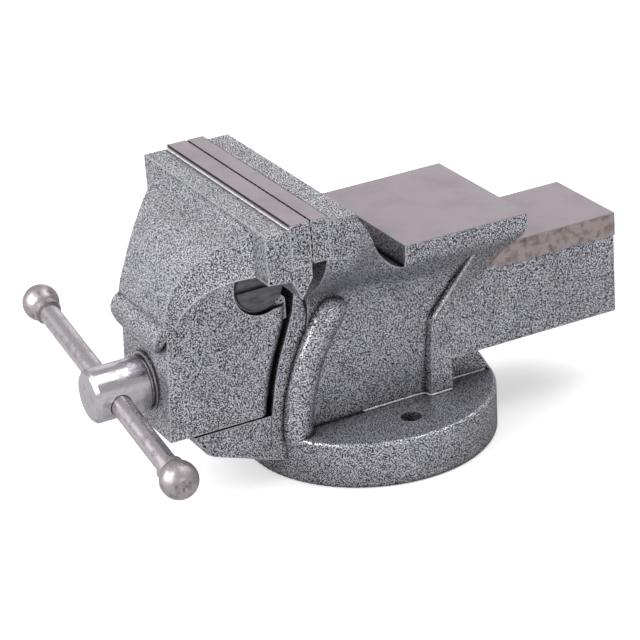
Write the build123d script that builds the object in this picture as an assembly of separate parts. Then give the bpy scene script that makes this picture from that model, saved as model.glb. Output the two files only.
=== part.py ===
from build123d import *
import os

# Fixed-base bench vise, 125 mm jaws. Millimetres.
# Origin: centre of the round foot's bottom face. +Z up, +Y from the handle to the rear,
# +X across the jaws. The jaws are closed.

# --- driving dimensions -------------------------------------------------------------
JAW_WIDTH = 125.0  # length of the gripping edge, across X
JAW_TOP = 139.4  # painted top of both jaws
PLATE_TOP = 141.5  # ground top of the jaw plates
PLATE_BOTTOM = 121.5
PARTING_Y = -54.15  # plane where the jaw plates meet
PARTING_GAP = 0.3
FRONT_SEAT_Y = -64.2  # front plate against the moving jaw
REAR_SEAT_Y = -45.7  # rear plate against the fixed jaw
JAW_FRONT_Y = -76.3
JAW_REAR_Y = -32.7
PLATE_SCREW_X = 35.0
PLATE_SCREW_Z = 131.5

FOOT_RADIUS = 61.4
FOOT_HEIGHT = 22.6
BOLT_SPACING = 81.0  # two mounting holes, across X
BOLT_HOLE_RADIUS = 5.25
BOLT_Y = 1.0

ANVIL_TOP = 107.5
ANVIL_HALF = 40.2
ANVIL_FRONT = 2.9
ANVIL_REAR = 68.0

HOUSING_HALF = 24.8  # rear box that holds the slide
HOUSING_TOP = 88.5
HOUSING_BOTTOM = 37.2
HOUSING_REAR = 125.1
GROUND_BAND = 11.5  # ground strip down the sides of the rear box
TUNNEL_HALF = 18.8
TUNNEL_BOTTOM = 42.0
TUNNEL_TOP = 82.2

SLIDE_HALF = 18.55
SLIDE_BOTTOM = 42.3
SLIDE_TOP = 81.9
SLIDE_WALL = 5.0
SLIDE_FRONT = -97.0
SLIDE_REAR = 118.0
SLIDE_HEAD_REAR = -52.5
SLIDE_HEAD_TOP = 111.5

BOX_HALF = 24.8  # lower box of the moving jaw
BOX_BOTTOM = 36.0
BOX_EDGE_RADIUS = 5.0
BOX_JOIN_Y = -75.0  # the rounded rear of the box starts here
THROAT_HALF = 22.4  # the box is this narrow behind the cross pin, above THROAT_BOTTOM
THROAT_BOTTOM = 87.0
PIN_Y = -62.8  # slotted cross pin that locks the slide in the jaw
PIN_Z = 99.2
PIN_RADIUS = 12.0

SCREW_Z = 57.2
SCREW_RADIUS = 9.0
SCREW_REAR = 108.0
THREAD_PITCH = 5.0
HEAD_RADIUS = 12.7
HEAD_FRONT = -140.7
HEAD_REAR = -114.3
WASHER_REAR = -113.1
NUT_FRONT = -45.0
NUT_REAR = -13.0
NUT_HALF = 13.2
NUT_BOTTOM = 28.0
NUT_TOP = 70.5
NUT_BOLT_Y = -29.0
NUT_BOLT_RADIUS = 4.0

NUT_WASHER_TOP = 11.0  # counterbore under the foot
COLLAR_Y = -80.0
THREAD_START = -60.0
THREAD_ROOT = 7.4

GRIP_PITCH = 4.0
GRIP_DEPTH = 0.55

COVER_FRONT = 122.8  # rebate in the rear end of the housing
COVER_HALF = 22.8
COVER_BOTTOM = 39.6
COVER_TOP = 85.6
COVER_SCREW_X = 20.8
COVER_SCREW_Z = 62.0

BAR_Y = -130.0
BAR_TILT = 11.5  # degrees, +X end low
BAR_RADIUS = 5.0
BAR_BALLS = 151.0  # between ball centres
BAR_SHIFT = -3.5  # bar pushed this far towards -X
BALL_RADIUS = 8.8


# --- helpers --------------------------------------------------------------------------
def side_prism(points, half):
    """Closed outline in the YZ plane, extruded to +-half across X."""
    outline = make_face(Polyline([(0, y, z) for y, z in points], close=True))
    return extrude(outline, amount=half, dir=(1, 0, 0), both=True)


def block(x, y, z):
    """Box between the pairs of limits x, y and z."""
    size = Box(x[1] - x[0], y[1] - y[0], z[1] - z[0])
    return Pos((x[0] + x[1]) / 2, (y[0] + y[1]) / 2, (z[0] + z[1]) / 2) * size


def rod_y(radius, y0, y1, x=0.0, z=SCREW_Z):
    """Cylinder along Y between y0 and y1."""
    return Pos(x, (y0 + y1) / 2, z) * Rot(90, 0, 0) * Cylinder(radius, abs(y1 - y0))


def rod_x(radius, x0, x1, y, z):
    """Cylinder along X between x0 and x1."""
    return Pos((x0 + x1) / 2, y, z) * Rot(0, 90, 0) * Cylinder(radius, abs(x1 - x0))


def rod_z(radius, z0, z1, x=0.0, y=0.0):
    """Cylinder along Z between z0 and z1."""
    return Pos(x, y, (z0 + z1) / 2) * Cylinder(radius, z1 - z0)


def plan_face(half_outline, z):
    """Face at height z from the +X half of its outline, mirrored across X = 0."""
    right = [(x, y, z) for x, y in half_outline]
    left = [(-x, y, z) for x, y in reversed(half_outline)]
    return make_face(Polyline(right + left, close=True))


# --- fixed casting ---------------------------------------------------------------------
# The body at each height: Y of its front, then half widths at the jaw, at the recessed
# panel's edge, just behind that edge and at the flare's rear; then the edge's Y and the
# rear's Y.
BODY_SECTIONS = [
    (20.0, -50.0, 23.6, 23.0, 27.6, 27.0, 18.3, 31.4),
    (37.2, -50.0, 23.8, 23.0, 26.8, 26.0, 19.4, 31.8),
    (52.0, -48.0, 24.2, 23.2, 26.2, 24.7, 20.6, 38.0),
    (60.0, -46.0, 24.4, 23.6, 26.0, 24.7, 21.8, 44.0),
    (66.0, -44.0, 24.6, 24.2, 26.2, 24.7, 26.2, 48.0),
    (72.0, -42.0, 24.9, 25.3, 27.2, 24.7, 30.5, 51.6),
    (80.0, -41.0, 25.5, 27.6, 29.4, 25.5, 35.5, 56.4),
    (84.0, -41.2, 26.2, 29.4, 31.0, 27.2, 37.5, 59.2),
    (88.0, -42.0, 27.9, 31.9, 32.9, 30.0, 39.0, 62.0),
    (92.0, -43.0, 31.8, 35.1, 35.3, 33.8, 40.6, 64.8),
    (97.0, -44.5, 39.6, 39.0, 39.2, 38.4, 43.0, 67.3),
    (101.0, -45.6, 45.8, 40.1, 40.2, 40.1, 44.6, 67.9),
    (106.0, -46.8, 52.2, 40.1, 40.2, 40.2, 46.0, 68.0),
    (114.0, -47.5, 59.4, 40.1, 40.2, 40.2, 46.5, 68.0),
    (121.0, -47.5, 62.5, 40.2, 40.2, 40.2, 47.0, 68.0),
    (145.0, -47.5, 62.5, 40.2, 40.2, 40.2, 48.0, 68.0),
]
# Front of the fixed casting in side view, from the foot to the jaw.
FRONT_CURVE = [
    (-63.2, 20.0), (-63.0, 29.0), (-61.9, 37.0), (-59.4, 50.5), (-56.3, 61.6),
    (-51.9, 72.8), (-48.0, 83.5), (-46.6, 92.0), (-46.8, 104.0),
]
# Centre line of the raised bead on each side of the front wall, in side view.
BEAD_PATH = [
    (-50.0, 20.0), (-48.6, 37.0), (-45.2, 49.0), (-40.6, 60.5), (-34.8, 71.0), (-29.0, 79.6),
]
BEAD_X = 24.6
BEAD_RADIUS = 7.4


def foot():
    """Round foot with its rim rounded."""
    disc = Pos(0, 0, FOOT_HEIGHT / 2) * Cone(61.0, FOOT_RADIUS, FOOT_HEIGHT)
    disc = fillet(disc.edges().sort_by(Axis.Z)[-1:], 2.2)
    return fillet(disc.edges().sort_by(Axis.Z)[:1], 1.0)


def body_core():
    """Narrow web that flares out to the fixed jaw and the anvil."""
    faces = []
    for z, front, jaw, panel, ridge, rear, edge_y, rear_y in BODY_SECTIONS:
        half = [
            (jaw, front), (jaw, -33.0), (panel, ANVIL_FRONT), (panel, edge_y),
            (ridge, edge_y + 1.2), (rear, rear_y),
        ]
        faces.append(plan_face(half, z))
    pieces = [loft(pair, ruled=True) for pair in (faces[:4], faces[3:15], faces[14:])]
    return pieces[0] + pieces[1] + pieces[2]


def top_outline():
    """Side outline above which the casting ends: jaw, saddle and anvil."""
    saddle = Spline(
        (0, JAW_REAR_Y, JAW_TOP), (0, -24.4, 128.0), (0, -17.6, 115.5),
        (0, -9.0, 104.8), (0, -2.4, 99.0), (0, ANVIL_FRONT, 96.6),
        tangents=[(0, 0.55, -1.0), (0, 1.0, -0.2)],
    )
    rest = Polyline(
        (0, ANVIL_FRONT, 96.6), (0, ANVIL_FRONT + 0.4, ANVIL_TOP), (0, ANVIL_REAR, ANVIL_TOP),
        (0, ANVIL_REAR, 15.0), (0, -60.0, 15.0), (0, -60.0, PLATE_BOTTOM),
        (0, REAR_SEAT_Y, PLATE_BOTTOM), (0, REAR_SEAT_Y, JAW_TOP), (0, JAW_REAR_Y, JAW_TOP),
    )
    outline = make_face([*saddle.edges(), *rest.edges()])
    return extrude(outline, amount=70.0, dir=(1, 0, 0), both=True)


def front_wall():
    """Curved wall round the mouth of the tunnel, with a bead down each side."""
    outline = FRONT_CURVE + [(-36.0, 104.0), (-28.0, 82.0)]
    outline += [(y, z) for y, z in reversed(BEAD_PATH[:-1])]
    wall = side_prism(outline, BEAD_X)
    for side in (-1, 1):
        path = Spline([(side * BEAD_X, y, z) for y, z in BEAD_PATH])
        start = Plane(origin=path @ 0, z_dir=path % 0)
        wall += sweep(start * Circle(BEAD_RADIUS), path)
        end = path @ 1
        wall += Pos(end.X, end.Y, end.Z) * Sphere(BEAD_RADIUS)
    return wall


def rear_housing():
    """Box behind the body that the slide runs into, on its pedestal and rear web."""
    box = block((-HOUSING_HALF, HOUSING_HALF), (31.0, HOUSING_REAR), (HOUSING_BOTTOM, HOUSING_TOP))
    band = block(
        (-HOUSING_HALF - 0.5, HOUSING_HALF + 0.5), (40.0, HOUSING_REAR + 0.4),
        (HOUSING_TOP - GROUND_BAND, HOUSING_TOP),
    )
    web_outline = [(20.0, 15.0), (58.0, 15.0), (57.0, 24.0), (52.5, 32.0), (46.0, 40.0), (20.0, 40.0)]
    web = side_prism(web_outline, 17.5)
    return box + band + web


def tongue():
    """Lip of the fixed casting that reaches forward under the moving jaw."""
    points = [
        (-55.0, 10.0), (-66.0, 13.2), (-76.0, 16.9), (-86.0, 20.4), (-92.5, 22.6), (-96.0, 24.8),
        (-98.6, 28.6), (-101.5, 34.7), (-55.0, 34.7),
    ]
    return side_prism(points, 24.2)


def fixed_body():
    """Fixed jaw, anvil, housing and foot in one casting."""
    cast = (body_core() & top_outline()) + front_wall() + rear_housing() + tongue() + foot()
    cast -= block((-TUNNEL_HALF, TUNNEL_HALF), (-80.0, 140.0), (TUNNEL_BOTTOM, TUNNEL_TOP))
    rebate_x = (-COVER_HALF - 0.2, COVER_HALF + 0.2)
    cast -= block(rebate_x, (COVER_FRONT, 140.0), (COVER_BOTTOM - 0.2, COVER_TOP + 0.2))
    seat_x = (-NUT_HALF - 0.1, NUT_HALF + 0.1)
    cast -= block(seat_x, (NUT_FRONT - 0.1, NUT_REAR + 0.1), (NUT_BOTTOM, TUNNEL_BOTTOM + 1.0))
    cast -= rod_z(NUT_BOLT_RADIUS + 0.5, -1.0, 40.0, y=NUT_BOLT_Y)
    cast -= rod_z(9.5, -1.0, NUT_WASHER_TOP, y=NUT_BOLT_Y)
    for side in (-1, 1):
        cast -= rod_z(BOLT_HOLE_RADIUS, -1.0, 40.0, x=side * BOLT_SPACING / 2, y=BOLT_Y)
        cast -= rod_y(3.0, -50.0, REAR_SEAT_Y + 9.0, x=side * PLATE_SCREW_X, z=PLATE_SCREW_Z)
        cast -= rod_y(1.5, 110.0, 130.0, x=side * COVER_SCREW_X, z=COVER_SCREW_Z)
    return cast


# --- moving jaw ------------------------------------------------------------------------
HOOD_OUTER = [
    (-75.6, 138.6), (-78.6, 135.6), (-83.0, 132.4), (-88.5, 128.6), (-95.5, 122.3), (-103.3, 112.6),
    (-108.0, 103.0), (-110.8, 94.0), (-111.4, 88.0),
]
HOOD_INNER = [
    (-107.5, 86.0), (-104.6, 93.0), (-100.8, 99.5), (-97.0, 103.8), (-91.5, 108.8), (-84.0, 113.2),
    (-76.0, 116.6),
]
HOOD_PLAN = [
    (50.3, -70.0), (50.3, -76.3), (45.2, -81.0), (40.3, -86.0), (32.4, -95.4), (26.8, -103.0),
    (24.8, -106.4), (24.8, -120.0),
]

# Lower box: Y of its rear face at each height, then the side outline in front of the throat.
BOX_REAR = [
    (-63.4, BOX_BOTTOM), (-62.2, 43.5), (-60.8, 50.5), (-59.4, 56.0), (-57.7, 61.6), (-55.7, 67.2),
    (-53.5, 72.8), (-51.7, 77.8), (-50.5, 82.5), (-50.2, THROAT_BOTTOM),
]
BOX_OUTLINE = [
    (-113.3, BOX_BOTTOM), (-72.0, BOX_BOTTOM), (-72.0, THROAT_BOTTOM), (PIN_Y, THROAT_BOTTOM),
    (PIN_Y, 111.4), (-64.0, 117.5), (-78.0, 122.0), (-95.0, 113.0), (-105.0, 98.0), (-109.9, 92.0),
]


def jaw_block():
    """Full-width gripping block with the seat of its plate and the rib under it."""
    outline = [
        (JAW_FRONT_Y, JAW_TOP), (JAW_FRONT_Y, 116.5), (-65.2, 115.6), (-60.6, 106.0), (-54.9, 115.4),
        (-54.9, PLATE_BOTTOM), (FRONT_SEAT_Y, PLATE_BOTTOM), (FRONT_SEAT_Y, JAW_TOP),
    ]
    return side_prism(outline, JAW_WIDTH / 2)


def hood():
    """Curved shell from the gripping block down to the nose, narrowing in plan."""
    outer = Spline([(0, y, z) for y, z in HOOD_OUTER])
    inner = Spline([(0, y, z) for y, z in HOOD_INNER])
    bottom = Line(outer @ 1, inner @ 0)
    top = Polyline(inner @ 1, (0, -66.0, 117.0), (0, -66.0, 138.6), outer @ 0)
    face = make_face([*outer.edges(), *bottom.edges(), *inner.edges(), *top.edges()])
    shell = extrude(face, amount=60.0, dir=(1, 0, 0), both=True)
    plan = extrude(plan_face(HOOD_PLAN, 80.0), amount=60.0, dir=(0, 0, 1))
    return shell & plan


def nose():
    """Rounded lip across the front, rising to both ends."""
    lip = Spline(
        (0, -111.0, 92.6), (0, -114.2, 90.2), (0, -115.9, 86.4), (0, -115.7, 81.8),
        (0, -113.9, 78.2), (0, -110.6, 75.8),
    )
    back = Polyline(lip @ 1, (0, -104.0, 75.8), (0, -104.0, 92.6), lip @ 0)
    profile = make_face([*lip.edges(), *back.edges()])
    solid = extrude(profile, amount=40.0, dir=(1, 0, 0), both=True)
    low = Spline(
        (-BOX_HALF, 0, 88.5), (-22.3, 0, 81.8), (-15.0, 0, 77.4), (0, 0, 75.9), (15.0, 0, 77.4),
        (22.3, 0, 81.8), (BOX_HALF, 0, 88.5),
    )
    rest = Polyline(low @ 1, (BOX_HALF, 0, 100.0), (-BOX_HALF, 0, 100.0), low @ 0)
    gate = extrude(make_face([*low.edges(), *rest.edges()]), amount=200.0, dir=(0, 1, 0), both=True)
    return solid & gate


def box_rear():
    """Rear of the lower box: plan sections with rounded corners, lofted upwards."""
    radius = BOX_EDGE_RADIUS
    diagonal = radius * (1 - 0.5**0.5)
    faces = []
    for y, z in BOX_REAR:
        side = (BOX_HALF, y - radius, z)
        middle = (BOX_HALF - diagonal, y - diagonal, z)
        tip = (BOX_HALF - radius, y, z)
        start = (BOX_HALF, BOX_JOIN_Y, z)
        right = [Line(start, side), ThreePointArc(side, middle, tip)]
        left = [mirror(edge, Plane.YZ) for edge in right]
        ends = [Line(tip, (-tip[0], y, z)), Line(start, (-BOX_HALF, BOX_JOIN_Y, z))]
        faces.append(make_face([*right, *left, *ends]))
    return loft(faces, ruled=True)


def lower_box():
    """Box under the block that holds the front end of the slide, narrowed round the cross pin."""
    core = [(-72.0, 80.0), (-50.2, 80.0), (-50.2, 90.0), (-60.0, 100.4), (-64.0, 117.5), (-72.0, 117.5)]
    return side_prism(BOX_OUTLINE, BOX_HALF) + box_rear() + side_prism(core, THROAT_HALF)


def movable_jaw():
    """Moving jaw casting, hollow for the slide and the screw."""
    cast = jaw_block() + hood() + lower_box() + nose()
    cast += rod_y(14.0, WASHER_REAR + 0.1, -105.0)
    pocket_x = (-SLIDE_HALF - 0.1, SLIDE_HALF + 0.1)
    cast -= block(pocket_x, (SLIDE_FRONT - 0.1, -40.0), (SLIDE_BOTTOM - 0.1, SLIDE_HEAD_TOP + 0.1))
    cast -= rod_y(SCREW_RADIUS + 0.08, -120.0, -90.0)
    cast -= rod_x(PIN_RADIUS + 0.05, -30.0, 30.0, PIN_Y, PIN_Z)
    for side in (-1, 1):
        cast -= rod_x(PIN_RADIUS + 1.4, side * THROAT_HALF, side * 30.0, PIN_Y, PIN_Z)
        cast -= rod_y(3.0, -74.0, -60.0, x=side * PLATE_SCREW_X, z=PLATE_SCREW_Z)
    return cast


def slide_bar():
    """Slide: solid head locked in the jaw, then a channel open at the bottom."""
    head = [
        (SLIDE_FRONT, SLIDE_BOTTOM), (SLIDE_FRONT, SLIDE_HEAD_TOP), (-67.0, SLIDE_HEAD_TOP),
        (-62.5, 100.0), (-53.5, 90.5), (-52.5, SLIDE_TOP), (-52.5, SLIDE_BOTTOM),
    ]
    bar = side_prism(head, SLIDE_HALF)
    bar += block((-SLIDE_HALF, SLIDE_HALF), (-60.0, SLIDE_REAR), (SLIDE_BOTTOM, SLIDE_TOP))
    inner = SLIDE_HALF - SLIDE_WALL
    bar -= block((-inner, inner), (-52.5, 130.0), (0.0, SLIDE_TOP - SLIDE_WALL))
    bar -= rod_y(10.0, -110.0, -40.0)
    bar -= rod_y(14.3, -110.0, -74.0)
    bar -= rod_x(PIN_RADIUS + 0.05, -30.0, 30.0, PIN_Y, PIN_Z)
    return bar


def slide_pin():
    """Slotted cross pin through the jaw and the head of the slide."""
    pin = rod_x(PIN_RADIUS, -23.9, 23.9, PIN_Y, PIN_Z)
    pin = chamfer(pin.edges().filter_by(GeomType.CIRCLE), 0.6)
    slot = block((22.0, 30.0), (PIN_Y - 20.0, PIN_Y + 20.0), (PIN_Z - 1.0, PIN_Z + 1.0))
    return pin - slot


# --- jaw plates and screws -------------------------------------------------------------
def grip_cuts(y):
    """Crossed V grooves over a gripping face at y, leaning 45 degrees both ways."""
    cuts = []
    size = GRIP_DEPTH * 2**0.5
    reach = (PLATE_TOP - PLATE_BOTTOM) * 2**0.5 + 4.0
    count = int((JAW_WIDTH / 2 + 12.0) / GRIP_PITCH)
    for lean in (-45, 45):
        for i in range(-count, count + 1):
            bar = Rot(0, lean, 0) * Rot(0, 0, 45) * Box(size, size, reach)
            cuts.append(Pos(i * GRIP_PITCH, y, (PLATE_TOP + PLATE_BOTTOM) / 2) * bar)
    return cuts


def jaw_plate(seat, grip):
    """Hardened plate between its seat and its gripping face."""
    y0, y1 = min(seat, grip), max(seat, grip)
    plate = block((-JAW_WIDTH / 2, JAW_WIDTH / 2), (y0, y1), (PLATE_BOTTOM, PLATE_TOP))
    into = 1 if seat > grip else -1
    for side in (-1, 1):
        plate -= rod_y(3.3, y0 - 1, y1 + 1, x=side * PLATE_SCREW_X, z=PLATE_SCREW_Z)
        plate -= screw_cone(side * PLATE_SCREW_X, grip, into, 6.6)
    return plate - grip_cuts(grip)


def screw_cone(x, grip, into, radius):
    """Countersink with its wide end just under the gripping face."""
    depth = radius - 3.0
    cone = Cone(radius, 3.0, depth) if into > 0 else Cone(3.0, radius, depth)
    sunk = Pos(x, grip + into * (0.8 + depth / 2), PLATE_SCREW_Z) * Rot(-90, 0, 0) * cone
    return sunk + rod_y(radius, grip, grip + into * 0.8, x=x, z=PLATE_SCREW_Z)


def plate_screws(seat, grip):
    """Two slotted countersunk screws that hold one jaw plate."""
    into = 1 if seat > grip else -1
    screws = []
    for side in (-1, 1):
        x = side * PLATE_SCREW_X
        depth = 3.4
        cone = Cone(6.4, 3.0, depth) if into > 0 else Cone(3.0, 6.4, depth)
        head = Pos(x, grip + into * (1.0 + depth / 2), PLATE_SCREW_Z) * Rot(-90, 0, 0) * cone
        ends = sorted((grip + into * 1.5, seat + into * 8.5))
        screw = head + rod_y(3.0, ends[0], ends[1], x=x, z=PLATE_SCREW_Z)
        face = grip + into * 1.0
        slot_z = (PLATE_SCREW_Z - 0.7, PLATE_SCREW_Z + 0.7)
        screws.append(screw - block((x - 8.0, x + 8.0), (face - 1.2, face + 1.2), slot_z))
    return Compound(screws)


# --- screw, nut and retainer -----------------------------------------------------------
def lead_screw():
    """Screw with its head; the thread form is drawn as rings."""
    points = [(0, HEAD_FRONT), (HEAD_RADIUS - 1.6, HEAD_FRONT), (HEAD_RADIUS, HEAD_FRONT + 1.6)]
    points += [(HEAD_RADIUS, HEAD_REAR - 0.6), (HEAD_RADIUS - 0.6, HEAD_REAR), (SCREW_RADIUS, HEAD_REAR)]
    y = THREAD_START
    while y < SCREW_REAR - THREAD_PITCH:
        points += [(SCREW_RADIUS, y), (THREAD_ROOT, y + 0.7)]
        points += [(THREAD_ROOT, y + 2.3), (SCREW_RADIUS, y + 3.0)]
        y += THREAD_PITCH
    points += [(SCREW_RADIUS, SCREW_REAR - 1.5), (SCREW_RADIUS - 1.5, SCREW_REAR), (0, SCREW_REAR)]
    face = make_face(Polyline([(r, y, 0) for r, y in points], close=True))
    screw = Pos(0, 0, SCREW_Z) * revolve(face, Axis.Y)
    return screw - bar_frame() * Cylinder(BAR_RADIUS + 0.3, 60.0) - retainer_hole()


def retainer_hole():
    """Cross hole for the retaining pin."""
    return Pos(0, COLLAR_Y, SCREW_Z) * Cylinder(2.0, 60.0)


def thrust_washer():
    """Washer between the screw's head and the jaw."""
    return rod_y(11.8, HEAD_REAR, WASHER_REAR) - rod_y(SCREW_RADIUS + 0.1, -120.0, -100.0)


def retainer_collar():
    """Collar pinned to the screw behind the jaw's front wall."""
    ring = rod_y(13.2, COLLAR_Y - 4.0, COLLAR_Y + 4.0) - rod_y(SCREW_RADIUS, -95.0, -60.0)
    return ring - retainer_hole()


def retainer_pin():
    """Pin through the collar and the screw."""
    return Pos(0, COLLAR_Y, SCREW_Z) * Cylinder(2.0, 25.6)


def retainer_spring():
    """Spring that pulls the jaw along without rattle."""
    path = Helix(pitch=3.0, height=9.4, radius=11.5, center=(0, 0, 0))
    start = Plane(origin=path @ 0, z_dir=path % 0)
    wire = sweep(start * Circle(1.0), path, is_frenet=True)
    return Pos(0, -95.7, SCREW_Z) * Rot(-90, 0, 0) * wire


def spindle_nut():
    """Bronze nut standing in its seat inside the tunnel."""
    nut = block((-NUT_HALF, NUT_HALF), (NUT_FRONT, NUT_REAR), (NUT_BOTTOM, NUT_TOP))
    nut = chamfer(nut.edges().filter_by(Axis.Y).sort_by(Axis.Z)[-2:], 4.0)
    nut -= rod_y(SCREW_RADIUS + 0.06, -60.0, 0.0)
    return nut - rod_z(NUT_BOLT_RADIUS, 20.0, 46.0, y=NUT_BOLT_Y)


def nut_bolt():
    """Hexagon bolt up into the nut from under the foot."""
    head = extrude(Pos(0, NUT_BOLT_Y, NUT_WASHER_TOP - 1.6 - 5.3) * RegularPolygon(7.5, 6), 5.3)
    return head + rod_z(NUT_BOLT_RADIUS, NUT_WASHER_TOP - 1.7, 44.0, y=NUT_BOLT_Y)


def nut_bolt_washer():
    """Washer under the nut bolt's head."""
    ring = rod_z(8.5, NUT_WASHER_TOP - 1.6, NUT_WASHER_TOP, y=NUT_BOLT_Y)
    return ring - rod_z(NUT_BOLT_RADIUS + 0.3, 0.0, 20.0, y=NUT_BOLT_Y)


# --- rear cover ------------------------------------------------------------------------
def rear_cover():
    """Sheet cover over the rear end of the tunnel."""
    plate = block((-COVER_HALF, COVER_HALF), (COVER_FRONT, COVER_FRONT + 2.0), (COVER_BOTTOM, COVER_TOP))
    for side in (-1, 1):
        plate -= rod_y(1.7, 120.0, 130.0, x=side * COVER_SCREW_X, z=COVER_SCREW_Z)
    return plate


def rear_cover_screws():
    """Two pan-head screws of the rear cover."""
    screws = []
    for side in (-1, 1):
        x = side * COVER_SCREW_X
        top = COVER_FRONT + 2.0
        screw = rod_y(1.5, COVER_FRONT - 8.0, top, x=x, z=COVER_SCREW_Z)
        screw += rod_y(2.2, top, top + 1.6, x=x, z=COVER_SCREW_Z)
        slot_z = (COVER_SCREW_Z - 0.35, COVER_SCREW_Z + 0.35)
        screws.append(screw - block((x - 3.0, x + 3.0), (top + 0.8, top + 3.0), slot_z))
    return Compound(screws)


# --- handle ----------------------------------------------------------------------------
def bar_frame():
    """Place of the bar's own frame: its Z runs along the bar towards -X."""
    return Pos(0, BAR_Y, SCREW_Z) * Rot(0, BAR_TILT - 90.0, 0)


def handle_bar():
    """Round bar that slides through the screw's head."""
    half = BAR_BALLS / 2 + 3.0
    rod = Cylinder(BAR_RADIUS, 2 * half)
    return bar_frame() * Pos(0, 0, -BAR_SHIFT) * rod


def handle_ball(end):
    """Turned ball end, bored for the bar, with a ring behind it and a dimple in its tip."""
    ball = Sphere(BALL_RADIUS) - Pos(0, 0, 7.1 + 5.0) * Cylinder(10.0, 10.0)
    ball -= Pos(0, 0, 6.6) * Cone(0.4, 1.8, 1.2)
    neck = Pos(0, 0, -8.0) * Cylinder(6.4, 3.2)
    ball += chamfer(neck.edges().filter_by(GeomType.CIRCLE).sort_by(Axis.Z)[0], 0.4)
    ball -= Pos(0, 0, -10.0 + 6.5) * Cylinder(BAR_RADIUS, 13.0)
    turned = ball if end > 0 else Rot(180, 0, 0) * ball
    return bar_frame() * Pos(0, 0, -BAR_SHIFT + end * BAR_BALLS / 2) * turned


# --- output ----------------------------------------------------------------------------
def all_parts():
    """Every node's name with its solid."""
    return {
        "fixed_body": fixed_body(),
        "rear_jaw_plate": jaw_plate(REAR_SEAT_Y, PARTING_Y + PARTING_GAP / 2),
        "rear_plate_screws": plate_screws(REAR_SEAT_Y, PARTING_Y + PARTING_GAP / 2),
        "spindle_nut": spindle_nut(),
        "nut_bolt": nut_bolt(),
        "nut_bolt_washer": nut_bolt_washer(),
        "rear_cover": rear_cover(),
        "rear_cover_screws": rear_cover_screws(),
        "movable_jaw": movable_jaw(),
        "front_jaw_plate": jaw_plate(FRONT_SEAT_Y, PARTING_Y - PARTING_GAP / 2),
        "front_plate_screws": plate_screws(FRONT_SEAT_Y, PARTING_Y - PARTING_GAP / 2),
        "slide_bar": slide_bar(),
        "slide_pin": slide_pin(),
        "lead_screw": lead_screw(),
        "thrust_washer": thrust_washer(),
        "retainer_collar": retainer_collar(),
        "retainer_pin": retainer_pin(),
        "retainer_spring": retainer_spring(),
        "handle_bar": handle_bar(),
        "handle_ball_near": handle_ball(-1),
        "handle_ball_far": handle_ball(1),
    }


def main():
    """Write one STEP file per node."""
    os.makedirs("parts", exist_ok=True)
    for name, shape in all_parts().items():
        export_step(shape, f"parts/{name}.step")


if __name__ == "__main__":
    main()
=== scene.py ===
"""Bench vise, 125 mm jaws: finishes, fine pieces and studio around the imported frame."""

import logging
import math
from dataclasses import dataclass
from enum import Enum

import bpy
import numpy as np
from mathutils import Matrix, Vector


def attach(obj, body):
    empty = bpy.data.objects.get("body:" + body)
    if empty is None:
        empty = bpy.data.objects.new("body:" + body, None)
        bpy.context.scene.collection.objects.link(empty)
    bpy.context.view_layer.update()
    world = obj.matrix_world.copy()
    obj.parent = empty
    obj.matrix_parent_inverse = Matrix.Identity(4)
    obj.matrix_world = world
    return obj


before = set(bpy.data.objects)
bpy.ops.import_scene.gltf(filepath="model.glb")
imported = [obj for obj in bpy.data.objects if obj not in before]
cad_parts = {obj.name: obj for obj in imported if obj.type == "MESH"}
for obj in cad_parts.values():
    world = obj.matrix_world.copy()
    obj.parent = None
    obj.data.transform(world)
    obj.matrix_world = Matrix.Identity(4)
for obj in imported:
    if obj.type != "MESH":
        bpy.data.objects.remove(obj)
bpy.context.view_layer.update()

LOG = logging.getLogger("bench_vise")
MM = 0.001
SEED = 7
FAR = 200.0  # beyond the vise in any direction, in millimetres

RANGE = ("Value", "From Min", "From Max", "To Min", "To Max")
RAYS = 8  # rays that look for nearby surfaces around a point
NOISE_SPAN = (0.3, 0.7)  # where nearly all of a noise's values lie
NOISE_MEAN = (0.5, 0.5, 0.5)
GRID_TURN = (0.6, 0.4, 0.8)  # radians, away from every axis of the vise

WELD_GAP = 1e-6  # metres between points that are one
FLAT_ANGLE = math.radians(1.2)  # faces that bend less than this are one face
SHARP_ANGLE = math.radians(32.0)  # edges that bend more than this are rounded
FACETS = 3  # strips across a rounded edge

Triple = tuple[float, float, float]
Span = tuple[float, float]
Ramp = tuple[float, float, float, float]  # a span of values, then the span it becomes
Tree = bpy.types.NodeTree
Socket = bpy.types.NodeSocket
Channel = Socket | float


class Body(Enum):
    """The bodies of the vise that new pieces ride on."""

    BASE = "vise_base"
    JAW = "front_jaw"


class Slot(Enum):
    """Name of the record's material slot for painted castings; no piece here takes its finish from
    it.
    """

    PAINT = "painted_casting"


def linear(code: str) -> tuple[float, float, float, float]:
    """Turn an sRGB hex colour into linear RGBA.

    Args:
        code: six hex digits, such as "8c8c90".

    Returns:
        Red, green, blue and an alpha of 1, linear.
    """
    parts = [int(code[i : i + 2], 16) / 255 for i in (0, 2, 4)]
    rgb = [p / 12.92 if p <= 0.04045 else ((p + 0.055) / 1.055) ** 2.4 for p in parts]
    return (*rgb, 1.0)


def add(tree: Tree, kind: str, inputs: dict | None = None, **settings: object) -> bpy.types.Node:
    """Add a node with its settings and links.

    Args:
        tree: the node tree it goes in.
        kind: the node's type name.
        inputs: a value or a source socket for each input, by name or number.
        settings: the node's own properties.

    Returns:
        The new node.
    """
    node = tree.nodes.new(kind)
    for name, value in settings.items():
        setattr(node, name, value)
    for key, value in (inputs or {}).items():
        if isinstance(value, Socket):
            tree.links.new(value, node.inputs[key])
        else:
            node.inputs[key].default_value = value
    return node


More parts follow.
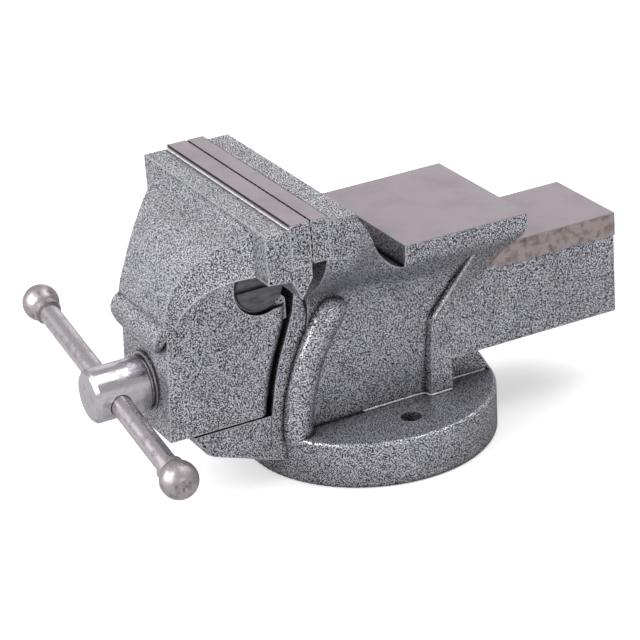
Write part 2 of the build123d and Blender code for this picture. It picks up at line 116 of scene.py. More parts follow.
# --- finishes ---------------------------------------------------------------------------
@dataclass(frozen=True)
class Grain:
    """Soft random pattern.

    It has the width of one grain, the octaves of finer grain in it, and how many times
    narrower the grain is along each axis.
    """

    size_mm: float
    detail: float
    finer: Triple = (1.0, 1.0, 1.0)

    def over(self, tree: Tree, at: Socket) -> bpy.types.Node:
        """Noise at the coordinates divided by the grain's size along each axis, then turned.

        The turn keeps the noise's own grid, where it fades, off the vise's flat faces.

        Args:
            tree: the material's node tree.
            at: coordinates in metres.

        Returns:
            The noise node: its value, then its colour.
        """
        scale = tuple(f / (self.size_mm * MM) for f in self.finer)
        place = {"Vector": at, "Scale": scale, "Rotation": GRID_TURN}
        scaled = add(tree, "ShaderNodeMapping", place).outputs[0]
        spread = {"Vector": scaled, "Scale": 1.0, "Detail": self.detail}
        return add(tree, "ShaderNodeTexNoise", spread)


@dataclass(frozen=True)
class Look:
    """What one finish gives the shader: colour, metal share, roughness and relief in metres."""

    colour: Channel
    metallic: Channel
    roughness: Channel
    relief: Channel


@dataclass(frozen=True)
class HammertonePaint:
    """Silver-grey hammertone enamel, sprayed and stoved on cast iron.

    Leafing aluminium gathers into light islands between dark veins as the film dries, so the
    eye sees a fine speckle with a soft sparkle. Real veins lie 0.3 to 0.5 mm apart, and the
    coarse end is drawn, to show. Inner corners and joints are darkened, partly as dark joints and
    partly as painted shade; recesses are darkened as painted shade, and outer edges are lightened
    as a painted highlight.
    """

    light: str = "eaeaf2"
    dark: str = "25262b"
    # Colour of the painted highlight laid over outer edges.
    edge: str = "e2e2e6"
    vein_mm: float = 0.52
    vein_span: Span = (0.41, 0.60)
    vein_rougher: float = 0.12
    island_smoother: float = 0.10
    depth_mm: float = 0.06
    cloud_mm: float = 14.0
    cloud_tone: Ramp = (*NOISE_SPAN, 0.9, 1.08)
    roughness: float = 0.38
    metallic: float = 0.85
    # Inner corners and joints darken within this distance: partly dark joints, partly painted
    # shade.
    joint_and_shade_mm: float = 2.6
    joint_and_shade_tone: Ramp = (0.5, 0.94, 0.06, 1.0)
    # Recesses darken within this distance: painted shade.
    recess_shade_mm: float = 18.0
    recess_shade_tone: Ramp = (0.35, 0.9, 0.62, 1.0)
    # Outer edges lighten within this distance: painted highlight.
    highlight_mm: float = 0.9
    highlight_share: Ramp = (0.95, 0.5, 0.0, 0.7)

    def look(self, tree: Tree, at: Socket) -> Look:
        """Veins from one noise under slow clouds of tone, with dark joints and painted shade in
        creases, painted shade in recesses and painted highlights on edges.

        Args:
            tree: the material's node tree.
            at: coordinates in metres.

        Returns:
            The finish's channels.
        """
        vein = Grain(self.vein_mm, 0.0).over(tree, at).outputs[0]
        cloud = Grain(self.cloud_mm, 2.0).over(tree, at).outputs[0]
        rays = "ShaderNodeAmbientOcclusion"
        # Darker in inner corners and joints: partly dark joints, partly painted shade.
        crease = add(tree, rays, {"Distance": self.joint_and_shade_mm * MM}, samples=RAYS).outputs["AO"]
        # Darker in recesses: painted shade.
        recess = add(tree, rays, {"Distance": self.recess_shade_mm * MM}, samples=RAYS).outputs["AO"]
        # Lighter over outer edges: painted highlight.
        rim = add(tree, rays, {"Distance": self.highlight_mm * MM}, samples=RAYS, only_local=True,
                  inside=True).outputs["AO"]
        smooth = self.roughness - self.island_smoother
        rough = self.roughness + self.vein_rougher
        island, tone, joints_and_shade, recess_shade, edge_highlight, gloss = (
            add(tree, "ShaderNodeMapRange", dict(zip(RANGE, (value, *ramp)))).outputs[0]
            for value, ramp in (
                (vein, (*self.vein_span, 0.0, 1.0)),
                (cloud, self.cloud_tone),
                (crease, self.joint_and_shade_tone),
                (recess, self.recess_shade_tone),
                (rim, self.highlight_share),
                (vein, (*self.vein_span, rough, smooth)),
            )
        )
        speckle = add(tree, "ShaderNodeMix",
                      {0: island, 6: linear(self.dark), 7: linear(self.light)}, data_type="RGBA")
        joint_and_recess_shade = add(tree, "ShaderNodeMath", {0: joints_and_shade, 1: recess_shade}, operation="MULTIPLY")
        shaded = add(tree, "ShaderNodeMath", {0: tone, 1: joint_and_recess_shade.outputs[0]}, operation="MULTIPLY")
        toned = add(tree, "ShaderNodeVectorMath",
                    {0: speckle.outputs[2], "Scale": shaded.outputs[0]}, operation="SCALE")
        # Outer edges mix towards the edge colour: painted highlight.
        colour = add(tree, "ShaderNodeMix",
                     {0: edge_highlight, 6: toned.outputs[0], 7: linear(self.edge)}, data_type="RGBA")
        relief = add(tree, "ShaderNodeMath", {0: island, 1: self.depth_mm * MM},
                     operation="MULTIPLY")
        return Look(colour.outputs[2], self.metallic, gloss, relief.outputs[0])


@dataclass(frozen=True)
class GroundIron:
    """Bare cast iron or steel, surface ground.

    The wheel draws the surface out along one axis, so the eye sees a satin grey with a warm
    cast, and faint stains where it was handled. Real grinding lines are 0.1 to 0.3 mm apart,
    and 0.3 mm is drawn.
    """

    base: str = "b4aab1"
    stain: str = "8f8488"
    stain_mm: float = 14.0
    stain_span: Span = (0.45, 0.75)
    stain_share: float = 0.3
    line_mm: float = 2.4
    finer: Triple = (1.0, 8.0, 1.0)
    depth_mm: float = 0.012
    roughness: float = 0.48
    smoother: float = 0.07
    rougher: float = 0.09
    metallic: float = 0.9

    def look(self, tree: Tree, at: Socket) -> Look:
        """Grinding lines drawn along one axis, with stains in soft patches.

        Args:
            tree: the material's node tree.
            at: coordinates in metres.

        Returns:
            The finish's channels.
        """
        line = Grain(self.line_mm, 3.0, self.finer).over(tree, at).outputs[0]
        patch = Grain(self.stain_mm, 4.0).over(tree, at).outputs[0]
        span = (*NOISE_SPAN, self.roughness - self.smoother, self.roughness + self.rougher)
        share, rough = (
            add(tree, "ShaderNodeMapRange", dict(zip(RANGE, (value, *ramp)))).outputs[0]
            for value, ramp in (
                (patch, (*self.stain_span, 0.0, self.stain_share)),
                (line, span),
            )
        )
        colour = add(tree, "ShaderNodeMix",
                     {0: share, 6: linear(self.base), 7: linear(self.stain)}, data_type="RGBA")
        relief = add(tree, "ShaderNodeMath", {0: line, 1: self.depth_mm * MM},
                     operation="MULTIPLY")
        return Look(colour.outputs[2], self.metallic, rough, relief.outputs[0])


@dataclass(frozen=True)
class TurnedSteel:
    """Bright mild steel, turned or drawn.

    The tool leaves fine rings or lines, so the eye sees a bright metal with a broken
    highlight, dulled in blotches by handling. Real tool marks are 0.1 to 0.2 mm apart, and
    0.8 mm is drawn.
    """

    base: str = "cfcad0"
    worn: str = "8f898c"
    worn_mm: float = 4.0
    worn_span: Span = (0.5, 0.75)
    worn_share: float = 0.7
    ring_mm: float = 0.8
    finer: Triple = (0.3, 6.0, 0.3)
    tilt_deg: float = 0.0
    depth_mm: float = 0.008
    roughness: float = 0.28
    dull_span: Span = (0.35, 0.7)
    smoother: float = 0.06
    rougher: float = 0.14

    def look(self, tree: Tree, at: Socket) -> Look:
        """Rings are noise squeezed along the axis; blotches dull the steel.

        Args:
            tree: the material's node tree.
            at: coordinates in metres.

        Returns:
            The finish's channels.
        """
        tilt = (0.0, math.radians(self.tilt_deg), 0.0)
        turned = add(tree, "ShaderNodeMapping", {"Vector": at, "Rotation": tilt}).outputs[0]
        ring = Grain(self.ring_mm * max(self.finer), 2.0, self.finer).over(tree, turned).outputs[0]
        patch = Grain(self.worn_mm, 6.0).over(tree, at).outputs[0]
        span = (*self.dull_span, self.roughness - self.smoother, self.roughness + self.rougher)
        share, rough = (
            add(tree, "ShaderNodeMapRange", dict(zip(RANGE, (patch, *ramp)))).outputs[0]
            for ramp in ((*self.worn_span, 0.0, self.worn_share), span)
        )
        colour = add(tree, "ShaderNodeMix",
                     {0: share, 6: linear(self.base), 7: linear(self.worn)}, data_type="RGBA")
        relief = add(tree, "ShaderNodeMath", {0: ring, 1: self.depth_mm * MM},
                     operation="MULTIPLY")
        return Look(colour.outputs[2], 1.0, rough, relief.outputs[0])


@dataclass(frozen=True)
class ForgedSteel:
    """Steel left as sheared and blackened, or the oily grime that settles in a joint.

    It is uneven, so the eye sees a dull dark lump with a few soft glints.
    """

    base: str = "8b8a90"
    dark: str = "3a393c"
    lump_mm: float = 3.2
    finer: Triple = (1.0, 0.6, 1.6)
    depth_mm: float = 0.5
    roughness: float = 0.46
    spread: float = 0.1
    metallic: float = 0.8

    def look(self, tree: Tree, at: Socket) -> Look:
        """Lumps from coarse noise, darker and rougher in the hollows.

        Args:
            tree: the material's node tree.
            at: coordinates in metres.

        Returns:
            The finish's channels.
        """
        lump = Grain(self.lump_mm, 4.0, self.finer).over(tree, at).outputs[0]
        colour = add(tree, "ShaderNodeMix",
                     {0: lump, 6: linear(self.dark), 7: linear(self.base)}, data_type="RGBA")
        span = (*NOISE_SPAN, self.roughness + self.spread, self.roughness - self.spread)
        rough = add(tree, "ShaderNodeMapRange", dict(zip(RANGE, (lump, *span))))
        relief = add(tree, "ShaderNodeMath", {0: lump, 1: self.depth_mm * MM},
                     operation="MULTIPLY")
        return Look(colour.outputs[2], self.metallic, rough.outputs[0], relief.outputs[0])


Finish = HammertonePaint | GroundIron | TurnedSteel | ForgedSteel


@dataclass(frozen=True)
class Region:
    """Box on the piece, in millimetres, whose border is ragged by up to `rag` along each axis."""

    low: Triple
    high: Triple
    rag: Triple = (0.3, 0.3, 0.3)
    rag_mm: float = 3.0
    soft_mm: float = 0.15

    def mask(self, tree: Tree, at: Socket) -> Socket:
        """1 inside the box and 0 outside: the largest of the six distances to its faces.

        Args:
            tree: the material's node tree.
            at: coordinates in metres.

        Returns:
            The mask.
        """
        low, high = (tuple(v * MM for v in corner) for corner in (self.low, self.high))
        reach = tuple(2 * r * MM for r in self.rag)
        wobble = Grain(self.rag_mm, 3.0).over(tree, at)
        kind = "ShaderNodeVectorMath"
        centred = add(tree, kind, {0: wobble.outputs[1], 1: NOISE_MEAN}, operation="SUBTRACT")
        moved = add(tree, kind, {0: centred.outputs[0], 1: reach, 2: at},
                    operation="MULTIPLY_ADD").outputs[0]
        under = add(tree, kind, {0: low, 1: moved}, operation="SUBTRACT")
        over = add(tree, kind, {0: moved, 1: high}, operation="SUBTRACT")
        past = add(tree, kind, {0: under.outputs[0], 1: over.outputs[0]}, operation="MAXIMUM")
        x, y, z = add(tree, "ShaderNodeSeparateXYZ", {0: past.outputs[0]}).outputs
        first = add(tree, "ShaderNodeMath", {0: x, 1: y}, operation="MAXIMUM")
        most = add(tree, "ShaderNodeMath", {0: first.outputs[0], 1: z}, operation="MAXIMUM")
        soft = self.soft_mm * MM
        edge = (most.outputs[0], soft, -soft, 0.0, 1.0)
        return add(tree, "ShaderNodeMapRange", dict(zip(RANGE, edge))).outputs[0]


@dataclass(frozen=True)
class Layers:
    """A finish with others laid over it inside regions."""

    under: Finish
    over: tuple[tuple[Region, Finish], ...] = ()

    def look(self, tree: Tree, at: Socket) -> Look:
        """Each layer's channels replace those below it inside its region.

        Args:
            tree: the material's node tree.
            at: coordinates in metres.

        Returns:
            The mixed channels.
        """
        low = self.under.look(tree, at)
        for region, finish in self.over:
            top, mask = finish.look(tree, at), region.mask(tree, at)
            colour = add(tree, "ShaderNodeMix", {0: mask, 6: low.colour, 7: top.colour},
                         data_type="RGBA")
            pairs = (
                (low.metallic, top.metallic), (low.roughness, top.roughness),
                (low.relief, top.relief),
            )
            mixed = [add(tree, "ShaderNodeMix", {0: mask, 2: a, 3: b}).outputs[0] for a, b in pairs]
            low = Look(colour.outputs[2], *mixed)
        return low


def material(name: str, finish: Finish | Layers) -> bpy.types.Material:
    """Make a material from a finish.

    Args:
        name: the real material and how it was made.
        finish: what the surface looks like.

    Returns:
        The material, with one Principled shader.
    """
    made = bpy.data.materials.new(name)
    made.use_nodes = True
    tree = made.node_tree
    tree.nodes.clear()
    look = finish.look(tree, add(tree, "ShaderNodeTexCoord").outputs["Object"])
    bump = add(tree, "ShaderNodeBump", {"Strength": 1.0, "Distance": 1.0, "Height": look.relief})
    shader = add(tree, "ShaderNodeBsdfPrincipled", {
        "Base Color": look.colour, "Metallic": look.metallic,
        "Roughness": look.roughness, "Normal": bump.outputs[0],
    })
    add(tree, "ShaderNodeOutputMaterial", {0: shader.outputs[0]})
    return made


# --- meshes -------------------------------------------------------------------------------
def solid_mesh(name: str, points: np.ndarray, faces: list[list[int]]) -> bpy.types.Object:
    """Make a smooth-shaded piece from points and faces.

    Args:
        name: the piece's name.
        points: array of shape (n, 3), in metres.
        faces: point numbers of each face, turning left seen from outside.

    Returns:
        The new object, at the origin.
    """
    mesh = bpy.data.meshes.new(name)
    mesh.from_pydata(points, [], faces)
    mesh.polygons.foreach_set("use_smooth", np.ones(len(faces), bool))
    mesh.update()
    made = bpy.data.objects.new(name, mesh)
    bpy.context.scene.collection.objects.link(made)
    return made


def cells(nu: int, nv: int, closed: bool) -> np.ndarray:
    """Four point numbers of each cell of a grid.

    Args:
        nu: points along the first direction.
        nv: points along the second direction.
        closed: the last column joins the first.

    Returns:
        Array of shape (cells, 4).
    """
    a, b = np.meshgrid(np.arange(nu - 1), np.arange(nv if closed else nv - 1), indexing="ij")
    c = (b + 1) % nv
    corners = [a * nv + b, (a + 1) * nv + b, (a + 1) * nv + c, a * nv + c]
    return np.stack(corners, axis=-1).reshape(-1, 4)


def dress(piece: bpy.types.Object, made: bpy.types.Material) -> None:
    """Put one material on a whole piece.

    Args:
        piece: the object.
        made: its material.
    """
    if not piece.material_slots:
        piece.data.materials.append(made)
    for place in piece.material_slots:
        place.material = made
    LOG.info("%s: %s", piece.name, made.name)


def round_edges(node: str, width_mm: float) -> None:
    """Round the edges and inner corners of a cast CAD node with modifiers.

    Args:
        node: the node's name.
        width_mm: how far the rounding reaches from each edge.
    """
    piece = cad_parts[node]
    piece.modifiers.new("weld", "WELD").merge_threshold = WELD_GAP
    flat = piece.modifiers.new("flat", "DECIMATE")
    flat.decimate_type = "DISSOLVE"
    flat.angle_limit = FLAT_ANGLE
    bevel = piece.modifiers.new("round", "BEVEL")
    bevel.width = width_mm * MM
    bevel.segments = FACETS
    bevel.limit_method = "ANGLE"
    bevel.angle_limit = SHARP_ANGLE
    bevel.harden_normals = True
    piece.modifiers.new("weight", "WEIGHTED_NORMAL")


@dataclass(frozen=True)
class EnamelBead:
    """Bead of enamel built up along a line, in millimetres.

    `path` are the line's corners, and `off` points away from the surface it lies on. The
    radius wanders by `wander` of itself either way. The line has a ring of `sides` points
    every `step`; `ease` rings are averaged at its corners, `blur` random numbers in its
    radius, and it tapers over `fade` from a share `tip` at its ends.
    """

    name: str
    body: Body
    path: tuple[Triple, ...]
    off: Triple
    radius: float
    wander: float = 0.5
    step: float = 0.5
    sides: int = 10
    ease: int = 7
    blur: int = 5
    fade: float = 2.0
    tip: float = 0.02

    def line(self) -> tuple[np.ndarray, np.ndarray]:
        """Sample the path evenly, then average each sample with its neighbours.

        Returns:
            How far along the path each sample is, and the samples as an array (n, 3).
        """
        corners = np.array(self.path)
        legs = np.linalg.norm(np.diff(corners, axis=0), axis=1)
        along = np.concatenate([[0.0], np.cumsum(legs)])
        at = np.linspace(0.0, along[-1], int(along[-1] / self.step) + 1)
        line = np.stack([np.interp(at, along, corners[:, i]) for i in range(3)], axis=1)
        reach, even = self.ease // 2, np.ones(self.ease) / self.ease
        padded = np.pad(line, ((reach, reach), (0, 0)), mode="reflect", reflect_type="odd")
        eased = [np.convolve(padded[:, i], even, "valid") for i in range(3)]
        return at, np.stack(eased, axis=1)

    def build(self) -> bpy.types.Object:
        """Make the bead.

        A ring of points stands square to the line at each sample. Its radius is a smoothed
        random number, and grows from nothing at both ends as a quarter circle.

        Returns:
            The bead, closed at both ends.
        """
        rng = np.random.default_rng(SEED)
        at, line = self.line()
        count = len(at)
        tangent = np.gradient(line, axis=0)
        tangent /= np.linalg.norm(tangent, axis=1, keepdims=True)
        side = np.array(self.off) - tangent * (tangent @ np.array(self.off))[:, None]
        side /= np.linalg.norm(side, axis=1, keepdims=True)
        other = np.cross(side, tangent)
        spare, even = self.blur - 1, np.ones(self.blur) / self.blur
        noise = np.convolve(rng.random(count + 2 * spare), even, "same")[spare : count + spare]
        near = np.clip(np.minimum(at, at[::-1]) / self.fade, self.tip, 1.0)
        wandering = self.radius * (1.0 + self.wander * (noise * 2.0 - 1.0))
        radius = wandering * np.sqrt(1.0 - (1.0 - near) ** 2)
        turn = np.linspace(0.0, 2 * np.pi, self.sides, endpoint=False)[None, :, None]
        ring = side[:, None] * np.cos(turn) + other[:, None] * np.sin(turn)
        rings = line[:, None] + ring * radius[:, None, None]
        points = np.concatenate([rings.reshape(-1, 3), line[:1], line[-1:]]) * MM
        first, last, v = count * self.sides, count * self.sides + 1, np.arange(self.sides)
        w, tail = (v + 1) % self.sides, (count - 1) * self.sides
        start = np.stack([np.full_like(v, first), v, w], axis=1)
        end = np.stack([np.full_like(v, last), tail + w, tail + v], axis=1)
        faces = cells(count, self.sides, True).tolist() + start.tolist() + end.tolist()
        made = solid_mesh(self.name, points, faces)
        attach(made, self.body.value)
        return made


# --- the vise -----------------------------------------------------------------------------
PAINT = HammertonePaint()
GROUND = GroundIron()
SCRAPED = GroundIron(
    base="bdb0ae", stain="6e5a52", stain_mm=4.0, stain_share=0.9, roughness=0.5,
    finer=(1.0, 0.3, 2.0),
)
GRIME = ForgedSteel(
    base="2c2a2b", dark="141314", lump_mm=1.0, depth_mm=0.05, roughness=0.7, metallic=0.2,
)


@dataclass
class FixedCasting:
    """Fixed jaw, anvil, housing and foot, with the enamel built up in their corners.

    The ground faces are known by where they are. `skin` is how far below a ground face the
    bare iron goes before the enamel starts.
    """

    anvil_top: float = 107.5
    anvil_front: float = 2.4
    anvil_rear: float = 80.0
    anvil_skin: float = 0.35
    housing_top: float = 88.5
    housing_front: float = 60.0
    housing_skin: float = 0.4
    band_bottom: float = 77.0
    tail_low: Span = (54.0, 78.0)
    tail_high: Span = (90.0, 85.0)
    rounding: float = 1.2
    foot_top: float = 22.9
    step: tuple[Triple, ...] = (
        (26.0, 23.0, 60.6), (26.2, 27.4, 66.0), (27.2, 31.7, 72.0), (29.4, 36.7, 80.0),
        (31.0, 38.7, 84.0), (32.9, 40.2, 88.0), (35.2, 41.7, 92.0),
    )
    toe: tuple[Span, ...] = ((23.2, -15.0), (23.0, 18.2), (27.5, 19.5), (27.1, 31.2))
    web: tuple[Span, ...] = ((17.6, 31.8), (17.6, 55.0))
    step_radius: float = 1.0
    foot_radius: float = 0.7
    wander: float = 0.25

    def dress(self) -> None:
        """Enamel on the casting, bare iron on the anvil, the housing's top and its side bands."""
        top = Region(
            (-FAR, self.anvil_front, self.anvil_top - self.anvil_skin),
            (FAR, self.anvil_rear, FAR), rag=(0.1, 0.1, 0.25),
        )
        back = Region(
            (-FAR, self.housing_front, self.housing_top - self.housing_skin),
            (FAR, FAR, self.housing_top + self.housing_skin), rag=(0.1, 0.1, 0.2),
        )
        band = Region(
            (-FAR, self.housing_front, self.band_bottom), (FAR, FAR, self.housing_top),
            rag=(0.0, 7.0, 0.35), soft_mm=0.3,
        )
        tail = Region(
            (-FAR, *self.tail_low), (FAR, *self.tail_high), rag=(0.0, 6.0, 3.0), rag_mm=2.5,
            soft_mm=0.5,
        )
        layers = Layers(PAINT, ((tail, SCRAPED), (band, SCRAPED), (back, GROUND), (top, GROUND)))
        # A speckled silver casting whose bare tops are smooth and whose bands are smeared.
        made = material("hammertone_enamel_on_ground_casting", layers)
        dress(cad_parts["fixed_body"], made)
        round_edges("fixed_body", self.rounding)

    def beads(self) -> None:
        """Enamel along the step of each side panel and in the corner of sides and foot."""
        # A thick run of enamel shines more than the film round it; its veins are drawn paler as a
        # painted highlight along the line, and it takes almost no painted shade.
        enamel = material("built_up_hammertone", HammertonePaint(
            light="f4f4f6", dark="8e8e94", roughness=0.28, joint_and_shade_mm=0.1, recess_shade_mm=0.1,
        ))
        for side, turn in (("near", 1.0), ("far", -1.0)):
            step = tuple((turn * x, y, z) for x, y, z in self.step)
            toe = tuple((turn * x, y, self.foot_top) for x, y in self.toe)
            web = tuple((turn * x, y, self.foot_top) for x, y in self.web)
            outward, upward = (turn, 0.0, 0.0), (turn * 0.3, 0.0, 1.0)
            for name, path, off, radius in (
                ("step_bead", step, outward, self.step_radius),
                ("toe_bead", toe, upward, self.foot_radius),
                ("web_bead", web, upward, self.foot_radius),
            ):
                bead = EnamelBead(f"{name}_{side}", Body.BASE, path, off, radius, self.wander)
                dress(bead.build(), enamel)


@dataclass
class JawPlates:
    """Hardened plates with cross-cut grips, their tops ground and their ends painted over.

    Each joint has the place of its middle, its half width and how deep its grime goes: where
    the plates meet, and along the front and the rear casting.
    """

    half: float = 62.5
    top: float = 141.5
    end_depth: float = 0.5
    bare_rim: float = 0.3
    joints: tuple[Triple, ...] = ((-54.15, 0.55, 1.0), (-64.2, 0.45, 1.0), (-45.7, 0.3, 0.2))

    def dress(self) -> None:
        """Enamel over each end, grime along the joints of the top, bare steel elsewhere."""
        end, rim = self.half - self.end_depth, self.top - self.bare_rim
        ends = (
            Region((end, -FAR, 0.0), (FAR, FAR, rim), rag=(0.2, 0.2, 0.25)),
            Region((-FAR, -FAR, 0.0), (-end, FAR, rim), rag=(0.2, 0.2, 0.25)),
        )
        joints = tuple(
            Region((-FAR, y - half, self.top - deep), (FAR, y + half, FAR), rag=(0.0, 0.25, 0.0),
                   rag_mm=2.0, soft_mm=0.1)
            for y, half, deep in self.joints
        )
        layers = tuple((j, GRIME) for j in joints) + tuple((e, PAINT) for e in ends)
        # Satin steel between thin black lines, with speckled enamel wrapped over its ends.
        made = material("ground_tool_steel_with_painted_ends", Layers(GROUND, layers))
        for node in ("front_jaw_plate", "rear_jaw_plate"):
            dress(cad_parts[node], made)


@dataclass
class MovingJaw:
    """Moving jaw casting with its slide, cross pin and the enamel that creeps along its plate."""

    rounding: float = 1.0
    seam_y: float = -64.45
    seam_z: float = 139.5
    half: float = 62.2
    ridge_radius: float = 0.5

    def dress(self) -> None:
        """Enamel on the casting, machined iron on the slide, a rough cross pin."""
        # The same speckled silver as the fixed casting, with no bare face.
        dress(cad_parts["movable_jaw"], material("hammertone_enamel_on_casting", PAINT))
        round_edges("movable_jaw", self.rounding)
        # Planed lengthways and kept oiled: darker and wetter than the ground tops.
        slide = GroundIron(base="77716e", stain="544b45", roughness=0.4, finer=(6.0, 1.0, 6.0))
        dress(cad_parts["slide_bar"], material("planed_cast_iron_oiled", slide))
        # A dark broken end that catches a little light on its high spots.
        dress(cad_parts["slide_pin"], material("sheared_steel_pin", ForgedSteel()))

    def bead(self) -> None:
        """Bead of enamel where the casting meets its plate."""
        path = ((-self.half, self.seam_y, self.seam_z), (self.half, self.seam_y, self.seam_z))
        ridge = EnamelBead("paint_ridge", Body.JAW, path, (0.0, -0.7, 0.7), self.ridge_radius)
        # A bead of enamel, almost white as a painted highlight along the seam, glossy and hardly
        # veined.
        enamel = HammertonePaint(
            light="fafafc", dark="c4c4c8", roughness=0.28, metallic=0.4, joint_and_shade_mm=0.1,
            recess_shade_mm=0.1,
        )
        dress(ridge.build(), material("built_up_enamel", enamel))


@dataclass
class ScrewGroup:
    """Lead screw with its head, washer, collar, pin and spring, and the nut it runs in."""

    turned: tuple[str, ...] = ("lead_screw", "thrust_washer", "retainer_collar", "retainer_pin")

    def dress(self) -> None:
        """Turned steel on the screw, iron on the nut, oiled wire on the spring."""
        # Bright from the lathe and polished by use, with sharp highlights round the head.
        bright = material("turned_mild_steel", TurnedSteel(roughness=0.21, worn_share=0.5))
        for node in self.turned:
            dress(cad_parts[node], bright)
        # Dark matt iron under a film of grease.
        nut = GroundIron(base="6d6965", stain="4b443f", roughness=0.5)
        dress(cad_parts["spindle_nut"], material("milled_cast_iron_greased", nut))
        # Dark grey wire with a thin oily highlight.
        spring = TurnedSteel(base="77767a", worn="4c4a4c", roughness=0.36)
        dress(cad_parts["retainer_spring"], material("oiled_spring_wire", spring))


@dataclass
class Fasteners:
    """Zinc-plated screws, bolt and washer, and the enamelled rear cover."""

    plated: tuple[str, ...] = (
        "front_plate_screws", "rear_plate_screws", "rear_cover_screws", "nut_bolt",
        "nut_bolt_washer",
    )

    def dress(self) -> None:
        """Bright zinc on the fasteners and enamel on the cover."""
        # A slightly yellow, even grey that is softer than the turned steel.
        zinc = material("zinc_plated_steel", TurnedSteel(
            base="b9bbb8", worn="8c8e8d", roughness=0.34, finer=(1.0, 1.0, 1.0),
        ))
        for node in self.plated:
            dress(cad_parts[node], zinc)
        # The castings' speckled silver on a flat sheet.
        dress(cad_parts["rear_cover"], material("hammertone_enamel_on_sheet", PAINT))


@dataclass
class CrossHandle:
    """Sliding cross handle: a drawn bar with a turned ball on each end, tilted about y."""

    tilt_deg: float = 11.5

    def dress(self) -> None:
        """Drawn bright steel on the bar, rougher turned steel on the balls."""
        # Lines along the bar stretch its highlight, and hands have dulled it in blotches.
        bar = TurnedSteel(
            base="d2cbd0", worn="8f8789", roughness=0.27, finer=(0.25, 3.0, 3.0),
            tilt_deg=-self.tilt_deg,
        )
        dress(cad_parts["handle_bar"], material("drawn_bright_steel", bar))
        # Coarse tool marks and knocks leave the balls greyer and softer than the bar.
        ball = material("rough_turned_steel", TurnedSteel(
            base="bbb3b5", worn="6f6769", roughness=0.42, depth_mm=0.06, tilt_deg=-self.tilt_deg,
            finer=(3.0, 1.5, 1.5), worn_share=0.9,
        ))
        for node in ("handle_ball_near", "handle_ball_far"):
            dress(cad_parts[node], ball)


# --- studio -------------------------------------------------------------------------------
@dataclass(frozen=True)
class SoftLight:
    """Square soft light: its place and width in metres, and its power."""

    name: str
    at: Triple
    size: float
    watts: float

    def build(self, aim: Triple) -> None:
        """Hang the light, out of the camera's sight.

        Args:
            aim: the point it faces.
        """
        data = bpy.data.lights.new(self.name, "AREA")
        data.size = self.size
        data.energy = self.watts
        lamp = bpy.data.objects.new(self.name, data)
        lamp.visible_camera = False
        bpy.context.scene.collection.objects.link(lamp)
        place = Vector(self.at)
        lamp.location = place
        lamp.rotation_euler = (Vector(aim) - place).to_track_quat("-Z", "Y").to_euler()


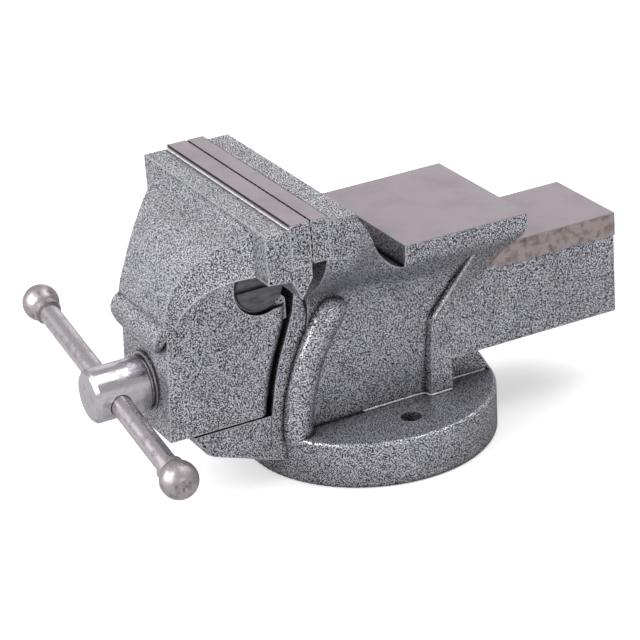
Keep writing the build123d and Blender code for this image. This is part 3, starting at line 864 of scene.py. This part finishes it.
@dataclass
class Studio:
    """Pale floor, white surroundings, soft lights and the camera."""

    camera_mm: Triple = (975.894, -501.302, 552.758)
    right: Triple = (0.4670396, 0.8815767, -0.0685312)
    up: Triple = (-0.3345571, 0.2479179, 0.9091800)
    forward: Triple = (-0.8185020, 0.4016955, -0.4107252)
    lens: float = 143.973
    sensor: float = 36.0
    clip: Span = (0.05, 50.0)
    floor: str = "ffffff"
    bounce: str = "bcbcbe"
    floor_half: float = 6.0
    floor_points: int = 9
    floor_z: float = -0.0002
    floor_glow: float = 0.35
    floor_roughness: float = 0.9
    world: str = "ffffff"
    world_strength: float = 0.5
    aim: Triple = (0.0, 0.0, 0.06)
    lights: tuple[SoftLight, ...] = (
        SoftLight("key", (-0.1, -1.2, 0.8), 1.0, 20.0),
        SoftLight("side", (1.6, -0.1, 0.4), 0.8, 3.0),
        SoftLight("strip", (0.1, 0.6, 1.2), 0.9, 6.0),
        SoftLight("back", (-1.5, 0.75, 0.75), 1.1, 1.7),
    )

    def floor_sheet(self) -> None:
        """Flat square grid of paper, 12 m wide, at one height just under the foot."""
        across = np.linspace(-self.floor_half, self.floor_half, self.floor_points)
        x, y = np.meshgrid(across, across, indexing="ij")
        points = np.stack([x, y, np.full_like(x, self.floor_z)], axis=-1).reshape(-1, 3)
        faces = cells(self.floor_points, self.floor_points, False).tolist()
        sheet = solid_mesh("floor", points, faces)
        # Matt white to look at; its bounce is greyer, as in a dark room, so steel stays dark.
        paper = bpy.data.materials.new("matt_white_paper")
        paper.use_nodes = True
        tree = paper.node_tree
        tree.nodes.clear()
        seen = add(tree, "ShaderNodeLightPath").outputs["Is Camera Ray"]
        tone = add(tree, "ShaderNodeMix",
                   {0: seen, 6: linear(self.bounce), 7: linear(self.floor)}, data_type="RGBA")
        glow = add(tree, "ShaderNodeMath", {0: seen, 1: self.floor_glow}, operation="MULTIPLY")
        shader = add(tree, "ShaderNodeBsdfPrincipled", {
            "Base Color": tone.outputs[2], "Roughness": self.floor_roughness,
            "Emission Color": linear(self.floor), "Emission Strength": glow.outputs[0],
        })
        add(tree, "ShaderNodeOutputMaterial", {0: shader.outputs[0]})
        dress(sheet, paper)

    def surroundings(self) -> None:
        """Even white light from all round."""
        world = bpy.data.worlds.new("white_room")
        world.use_nodes = True
        bpy.context.scene.world = world
        tree = world.node_tree
        tree.nodes.clear()
        light = {"Color": linear(self.world), "Strength": self.world_strength}
        back = add(tree, "ShaderNodeBackground", light)
        add(tree, "ShaderNodeOutputWorld", {0: back.outputs[0]})

    def camera(self) -> None:
        """Camera from its three axes and its place."""
        data = bpy.data.cameras.new("camera")
        data.sensor_width = self.sensor
        data.lens = self.lens
        data.clip_start, data.clip_end = self.clip
        camera = bpy.data.objects.new("camera", data)
        bpy.context.scene.collection.objects.link(camera)
        back = tuple(-f for f in self.forward)
        columns = zip(self.right, self.up, back, self.camera_mm)
        rows = [(r, u, b, place * MM) for r, u, b, place in columns]
        camera.matrix_world = Matrix([*rows, (0.0, 0.0, 0.0, 1.0)])
        bpy.context.scene.camera = camera

    def build(self) -> None:
        """Floor, surroundings, lights and camera."""
        self.floor_sheet()
        self.surroundings()
        for light in self.lights:
            light.build(self.aim)
        self.camera()
        bpy.context.scene.view_settings.view_transform = "Standard"


def main() -> None:
    """Build the studio, then build and dress every sub-assembly."""
    logging.basicConfig(level=logging.INFO, format="%(name)s: %(message)s")
    Studio().build()
    casting = FixedCasting()
    casting.dress()
    casting.beads()
    JawPlates().dress()
    jaw = MovingJaw()
    jaw.dress()
    jaw.bead()
    ScrewGroup().dress()
    Fasteners().dress()
    CrossHandle().dress()


if __name__ == "__main__":
    main()
